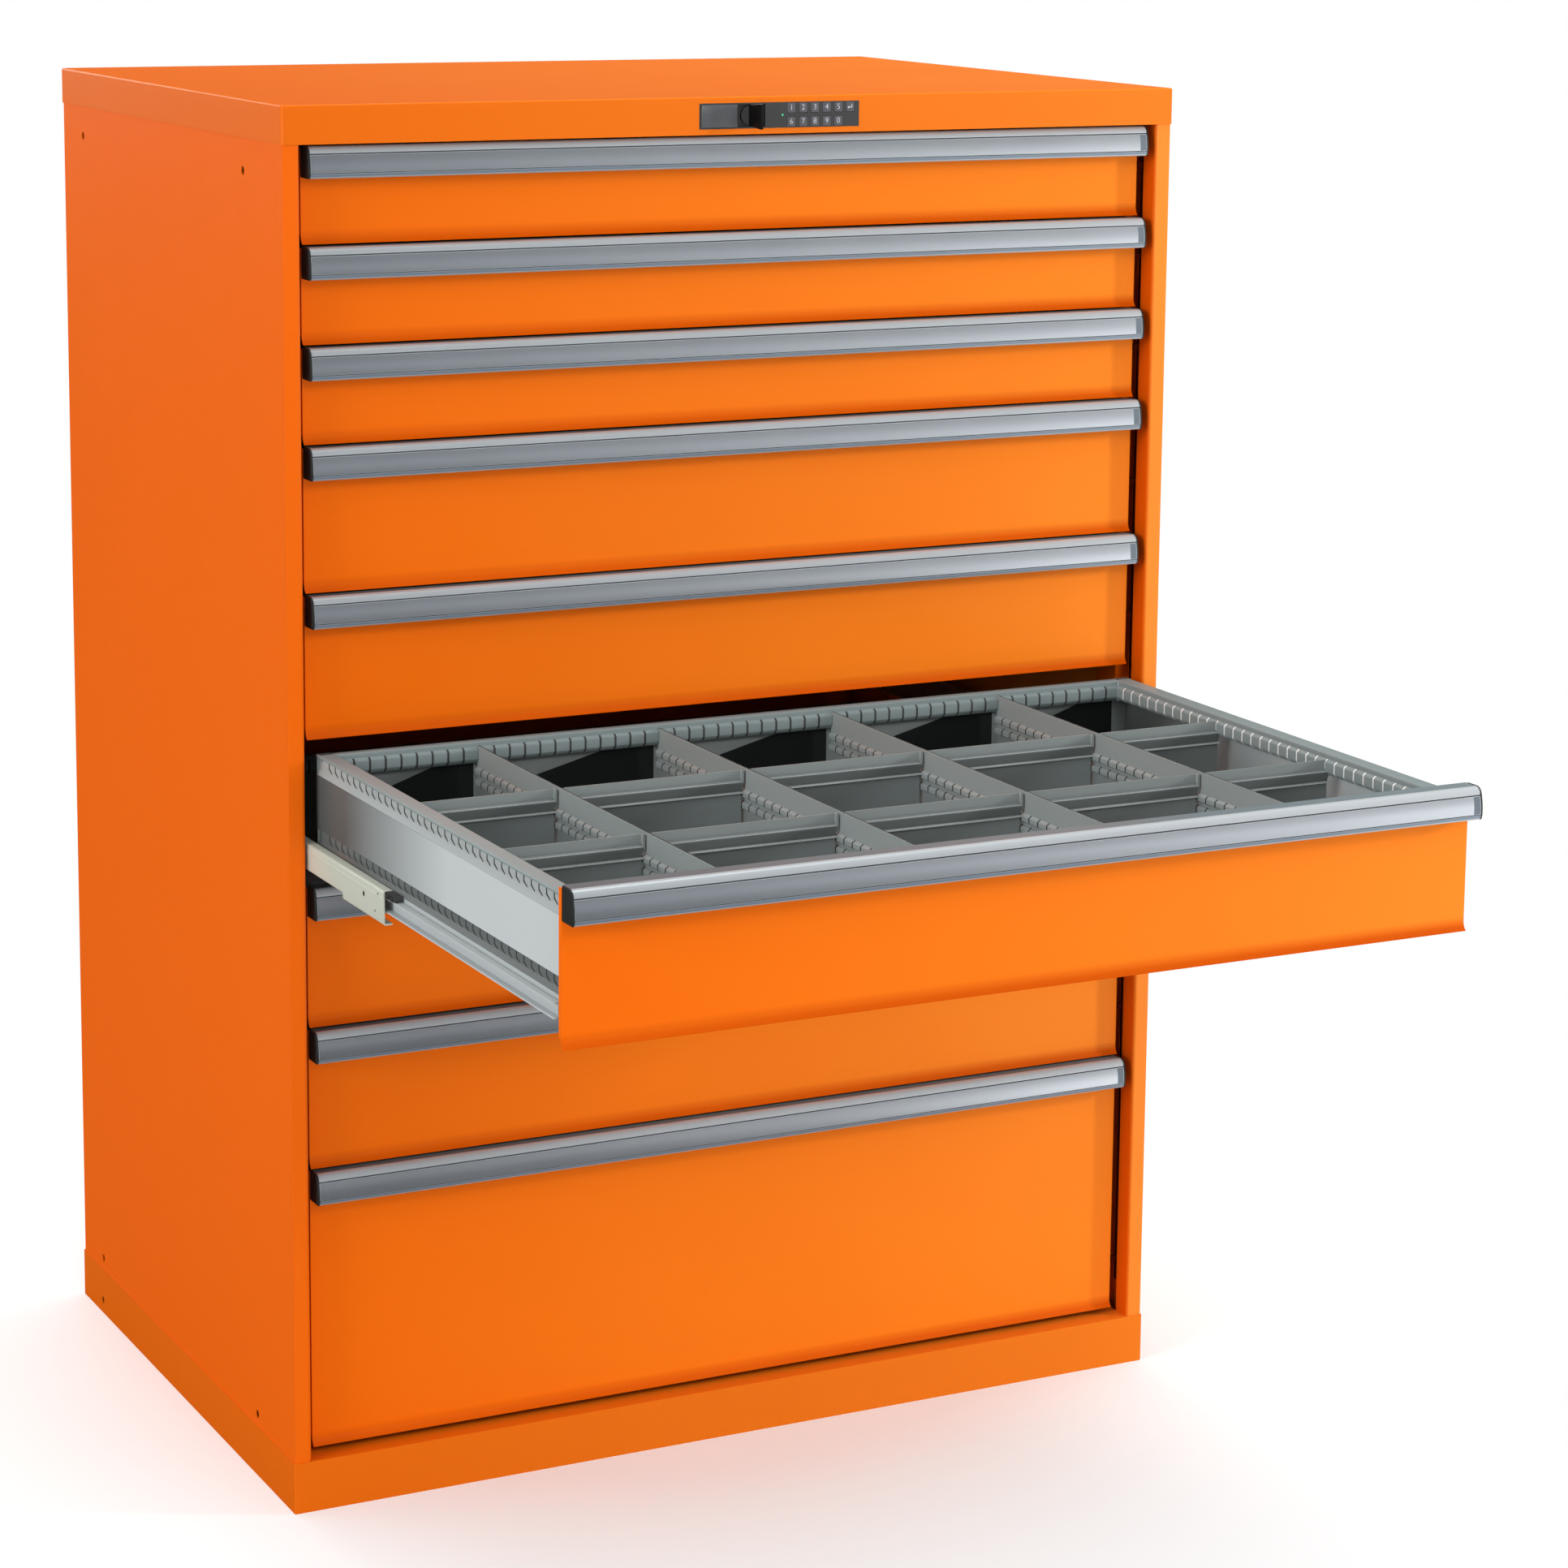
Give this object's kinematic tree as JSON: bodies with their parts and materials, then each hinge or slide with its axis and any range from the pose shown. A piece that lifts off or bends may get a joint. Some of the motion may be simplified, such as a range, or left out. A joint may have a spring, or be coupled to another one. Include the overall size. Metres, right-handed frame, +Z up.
{
  "type": "drawer cabinet",
  "caption": "Tall steel workshop cabinet with full-width drawers on telescopic rails, a keypad lock and thumb turn in the top edge, and a compartment drawer pulled out.",
  "frame": {"origin": "middle of the cabinet's footprint, on the floor", "axes": "+X to the right of a person who faces the drawers, -Y towards that person, +Z up"},
  "size_m": [1.023, 1.3645, 1.45],
  "materials": {
    "orange_paint": "satin powder coat",
    "grey_paint": "satin powder coat",
    "anodised_grip": "fine satin anodised",
    "cream_rail": "smooth, slightly glossy",
    "zinc_steel": "zinc plated",
    "black_plastic": "fine texture",
    "key_plastic": "fine texture"
  },
  "bodies": {
    "cabinet": {"side_panel_left": "orange_paint", "side_panel_right": "orange_paint", "back_panel": "orange_paint", "top_cover": "orange_paint", "base_plinth": "orange_paint", "floor_pan": "orange_paint", "uprights": "orange_paint", "fixed_rails": "zinc_steel", "lock_housing": "black_plastic"},
    "drawer_1": {"drawer_1_tray": "grey_paint", "drawer_1_front": "orange_paint", "drawer_1_handle": "anodised_grip"},
    "drawer_1_rails": {"drawer_1_middle_rails": "cream_rail"},
    "drawer_2": {"drawer_2_tray": "grey_paint", "drawer_2_front": "orange_paint", "drawer_2_handle": "anodised_grip"},
    "drawer_2_rails": {"drawer_2_middle_rails": "cream_rail"},
    "drawer_3": {"drawer_3_tray": "grey_paint", "drawer_3_front": "orange_paint", "drawer_3_handle": "anodised_grip"},
    "drawer_3_rails": {"drawer_3_middle_rails": "cream_rail"},
    "drawer_4": {"drawer_4_tray": "grey_paint", "drawer_4_front": "orange_paint", "drawer_4_handle": "anodised_grip"},
    "drawer_4_rails": {"drawer_4_middle_rails": "cream_rail"},
    "drawer_5": {"drawer_5_tray": "grey_paint", "drawer_5_front": "orange_paint", "drawer_5_handle": "anodised_grip"},
    "drawer_5_rails": {"drawer_5_middle_rails": "cream_rail"},
    "drawer_6": {"drawer_6_tray": "grey_paint", "drawer_6_front": "orange_paint", "drawer_6_handle": "anodised_grip", "drawer_6_partitions": "grey_paint", "drawer_6_dividers": "grey_paint"},
    "drawer_6_rails": {"drawer_6_middle_rails": "cream_rail"},
    "drawer_7": {"drawer_7_tray": "grey_paint", "drawer_7_front": "orange_paint", "drawer_7_handle": "anodised_grip"},
    "drawer_7_rails": {"drawer_7_middle_rails": "cream_rail"},
    "drawer_8": {"drawer_8_tray": "grey_paint", "drawer_8_front": "orange_paint", "drawer_8_handle": "anodised_grip"},
    "drawer_8_rails": {"drawer_8_middle_rails": "cream_rail"},
    "drawer_9": {"drawer_9_tray": "grey_paint", "drawer_9_front": "orange_paint", "drawer_9_handle": "anodised_grip"},
    "drawer_9_rails": {"drawer_9_middle_rails": "cream_rail"},
    "lock_knob": {"lock_knob": "black_plastic"},
    "locking_bar": {"locking_bar": "zinc_steel"},
    "key_1": {"key_1": "key_plastic"},
    "key_2": {"key_2": "key_plastic"},
    "key_3": {"key_3": "key_plastic"},
    "key_4": {"key_4": "key_plastic"},
    "key_5": {"key_5": "key_plastic"},
    "key_enter": {"key_enter": "key_plastic"},
    "key_6": {"key_6": "key_plastic"},
    "key_7": {"key_7": "key_plastic"},
    "key_8": {"key_8": "key_plastic"},
    "key_9": {"key_9": "key_plastic"},
    "key_0": {"key_0": "key_plastic"}
  },
  "joints": [
    {"name": "drawer_1_slide", "type": "slide", "parent": "cabinet", "child": "drawer_1", "axis": [0, -1, 0], "range_m": [0, 0.64]},
    {"name": "drawer_1_rails_slide", "type": "slide", "parent": "cabinet", "child": "drawer_1_rails", "axis": [0, -1, 0], "range_m": [0, 0.32]},
    {"name": "drawer_2_slide", "type": "slide", "parent": "cabinet", "child": "drawer_2", "axis": [0, -1, 0], "range_m": [0, 0.64]},
    {"name": "drawer_2_rails_slide", "type": "slide", "parent": "cabinet", "child": "drawer_2_rails", "axis": [0, -1, 0], "range_m": [0, 0.32]},
    {"name": "drawer_3_slide", "type": "slide", "parent": "cabinet", "child": "drawer_3", "axis": [0, -1, 0], "range_m": [0, 0.64]},
    {"name": "drawer_3_rails_slide", "type": "slide", "parent": "cabinet", "child": "drawer_3_rails", "axis": [0, -1, 0], "range_m": [0, 0.32]},
    {"name": "drawer_4_slide", "type": "slide", "parent": "cabinet", "child": "drawer_4", "axis": [0, -1, 0], "range_m": [0, 0.64]},
    {"name": "drawer_4_rails_slide", "type": "slide", "parent": "cabinet", "child": "drawer_4_rails", "axis": [0, -1, 0], "range_m": [0, 0.32]},
    {"name": "drawer_5_slide", "type": "slide", "parent": "cabinet", "child": "drawer_5", "axis": [0, -1, 0], "range_m": [0, 0.64]},
    {"name": "drawer_5_rails_slide", "type": "slide", "parent": "cabinet", "child": "drawer_5_rails", "axis": [0, -1, 0], "range_m": [0, 0.32]},
    {"name": "drawer_6_slide", "type": "slide", "parent": "cabinet", "child": "drawer_6", "axis": [0, -1, 0], "range_m": [-0.64, 0]},
    {"name": "drawer_6_rails_slide", "type": "slide", "parent": "cabinet", "child": "drawer_6_rails", "axis": [0, -1, 0], "range_m": [-0.32, 0]},
    {"name": "drawer_7_slide", "type": "slide", "parent": "cabinet", "child": "drawer_7", "axis": [0, -1, 0], "range_m": [0, 0.64]},
    {"name": "drawer_7_rails_slide", "type": "slide", "parent": "cabinet", "child": "drawer_7_rails", "axis": [0, -1, 0], "range_m": [0, 0.32]},
    {"name": "drawer_8_slide", "type": "slide", "parent": "cabinet", "child": "drawer_8", "axis": [0, -1, 0], "range_m": [0, 0.64]},
    {"name": "drawer_8_rails_slide", "type": "slide", "parent": "cabinet", "child": "drawer_8_rails", "axis": [0, -1, 0], "range_m": [0, 0.32]},
    {"name": "drawer_9_slide", "type": "slide", "parent": "cabinet", "child": "drawer_9", "axis": [0, -1, 0], "range_m": [0, 0.64]},
    {"name": "drawer_9_rails_slide", "type": "slide", "parent": "cabinet", "child": "drawer_9_rails", "axis": [0, -1, 0], "range_m": [0, 0.32]},
    {"name": "lock_knob_turn", "type": "hinge", "parent": "cabinet", "child": "lock_knob", "pos_m": [0, -0.3625, 1.4302], "axis": [0, -1, 0], "range_deg": [0, 90]},
    {"name": "locking_bar_lift", "type": "slide", "parent": "cabinet", "child": "locking_bar", "axis": [0, 0, 1], "range_m": [0, 0.007]},
    {"name": "key_1_press", "type": "slide", "parent": "cabinet", "child": "key_1", "axis": [0, 1, 0], "range_m": [0, 0.0008], "stiffness_N_per_m": 200},
    {"name": "key_2_press", "type": "slide", "parent": "cabinet", "child": "key_2", "axis": [0, 1, 0], "range_m": [0, 0.0008], "stiffness_N_per_m": 200},
    {"name": "key_3_press", "type": "slide", "parent": "cabinet", "child": "key_3", "axis": [0, 1, 0], "range_m": [0, 0.0008], "stiffness_N_per_m": 200},
    {"name": "key_4_press", "type": "slide", "parent": "cabinet", "child": "key_4", "axis": [0, 1, 0], "range_m": [0, 0.0008], "stiffness_N_per_m": 200},
    {"name": "key_5_press", "type": "slide", "parent": "cabinet", "child": "key_5", "axis": [0, 1, 0], "range_m": [0, 0.0008], "stiffness_N_per_m": 200},
    {"name": "key_enter_press", "type": "slide", "parent": "cabinet", "child": "key_enter", "axis": [0, 1, 0], "range_m": [0, 0.0008], "stiffness_N_per_m": 200},
    {"name": "key_6_press", "type": "slide", "parent": "cabinet", "child": "key_6", "axis": [0, 1, 0], "range_m": [0, 0.0008], "stiffness_N_per_m": 200},
    {"name": "key_7_press", "type": "slide", "parent": "cabinet", "child": "key_7", "axis": [0, 1, 0], "range_m": [0, 0.0008], "stiffness_N_per_m": 200},
    {"name": "key_8_press", "type": "slide", "parent": "cabinet", "child": "key_8", "axis": [0, 1, 0], "range_m": [0, 0.0008], "stiffness_N_per_m": 200},
    {"name": "key_9_press", "type": "slide", "parent": "cabinet", "child": "key_9", "axis": [0, 1, 0], "range_m": [0, 0.0008], "stiffness_N_per_m": 200},
    {"name": "key_0_press", "type": "slide", "parent": "cabinet", "child": "key_0", "axis": [0, 1, 0], "range_m": [0, 0.0008], "stiffness_N_per_m": 200}
  ],
  "couplings": [
    {"joint": "drawer_1_rails_slide", "follows": "drawer_1_slide", "ratio": 0.5},
    {"joint": "drawer_2_rails_slide", "follows": "drawer_2_slide", "ratio": 0.5},
    {"joint": "drawer_3_rails_slide", "follows": "drawer_3_slide", "ratio": 0.5},
    {"joint": "drawer_4_rails_slide", "follows": "drawer_4_slide", "ratio": 0.5},
    {"joint": "drawer_5_rails_slide", "follows": "drawer_5_slide", "ratio": 0.5},
    {"joint": "drawer_6_rails_slide", "follows": "drawer_6_slide", "ratio": 0.5},
    {"joint": "drawer_7_rails_slide", "follows": "drawer_7_slide", "ratio": 0.5},
    {"joint": "drawer_8_rails_slide", "follows": "drawer_8_slide", "ratio": 0.5},
    {"joint": "drawer_9_rails_slide", "follows": "drawer_9_slide", "ratio": 0.5},
    {"joint": "lock_knob_turn", "follows": "locking_bar_lift", "rad_per_m": 224.3}
  ]
}
